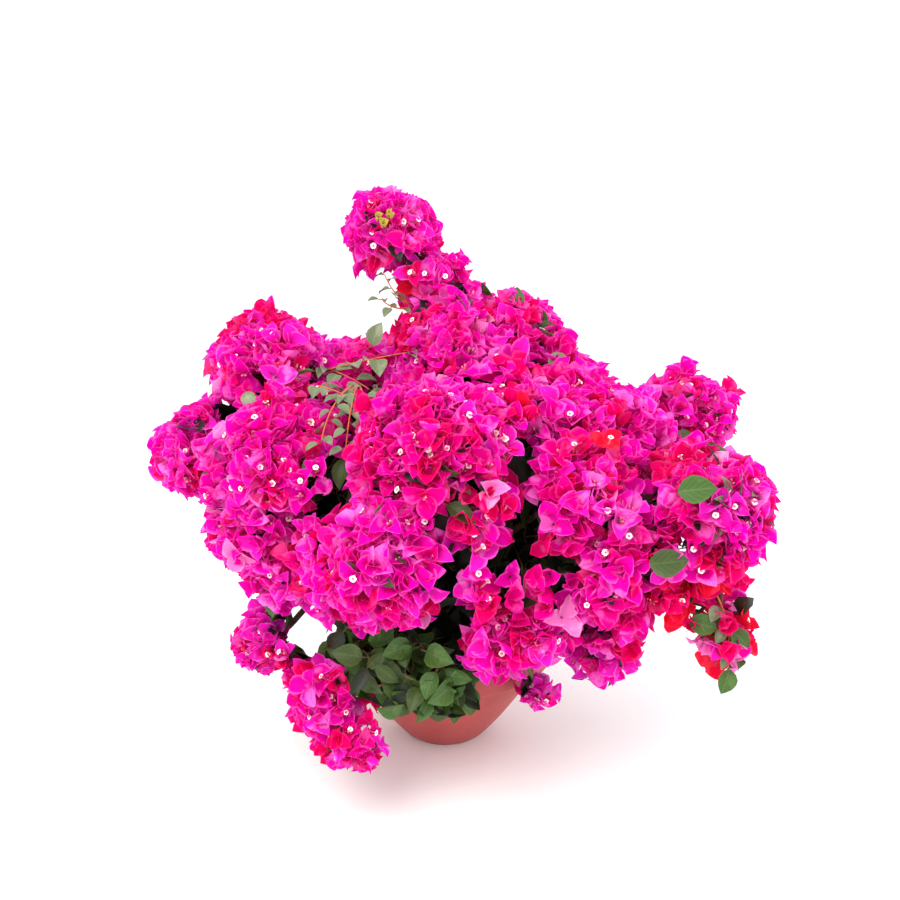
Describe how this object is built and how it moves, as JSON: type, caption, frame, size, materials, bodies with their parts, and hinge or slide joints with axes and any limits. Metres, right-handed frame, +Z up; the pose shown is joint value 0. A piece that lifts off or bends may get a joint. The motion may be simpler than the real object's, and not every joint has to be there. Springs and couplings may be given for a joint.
{
  "type": "potted bougainvillea bush",
  "caption": "Bushy bougainvillea in full magenta bloom in a bowl-shaped plastic pot, with a short woody trunk, arching boughs and dense rounded masses of papery bracts.",
  "frame": {"origin": "centre of the pot's flat underside", "axes": "+Z up, -Y towards the bush's front, +X to the right seen from the front"},
  "size_m": [0.7123, 0.5983, 0.6928],
  "materials": {
    "pot": "moulded terracotta-red polypropylene with a satin surface, a little chalky with age",
    "soil": "damp crumbly potting compost",
    "bark": "grey-brown woody bark with fine lengthwise ridges, greener on young canes",
    "bracts": "thin papery magenta bracts, veined, paler at the edges",
    "leaves": "dull grey-green leaves, a little waxy"
  },
  "bodies": {
    "root": {"pot": "pot", "soil": "soil", "trunk": "bark", "bough_top": "bark", "bough_top_right": "bark", "bough_left_top": "bark", "bough_notch": "bark", "bough_left_far": "bark", "bough_left_face": "bark", "bough_centre_high": "bark", "bough_bridge": "bark", "bough_centre_low": "bark", "bough_right_high": "bark", "bough_right_mid": "bark", "bough_right_skirt": "bark", "bough_right_far": "bark", "bough_front_drop": "bark", "bough_left_ball": "bark", "bough_trail": "bark", "bough_rim_leaves": "bark", "bough_back_left": "bark", "bough_back": "bark", "bough_back_right": "bark", "mass_top": "bracts", "mass_top_right": "bracts", "mass_left_top": "bracts", "mass_notch": "bracts", "mass_left_far": "bracts", "mass_left_face": "bracts", "mass_centre_high": "bracts", "mass_bridge": "bracts", "mass_centre_low": "bracts", "mass_right_high": "bracts", "mass_right_mid": "bracts", "mass_right_skirt": "bracts", "mass_right_far": "bracts", "mass_front_drop": "bracts", "mass_left_ball": "bracts", "mass_trail": "bracts", "mass_rim_leaves": "leaves", "mass_back_left": "bracts", "mass_back": "bracts", "mass_back_right": "bracts"}
  },
  "joints": []
}
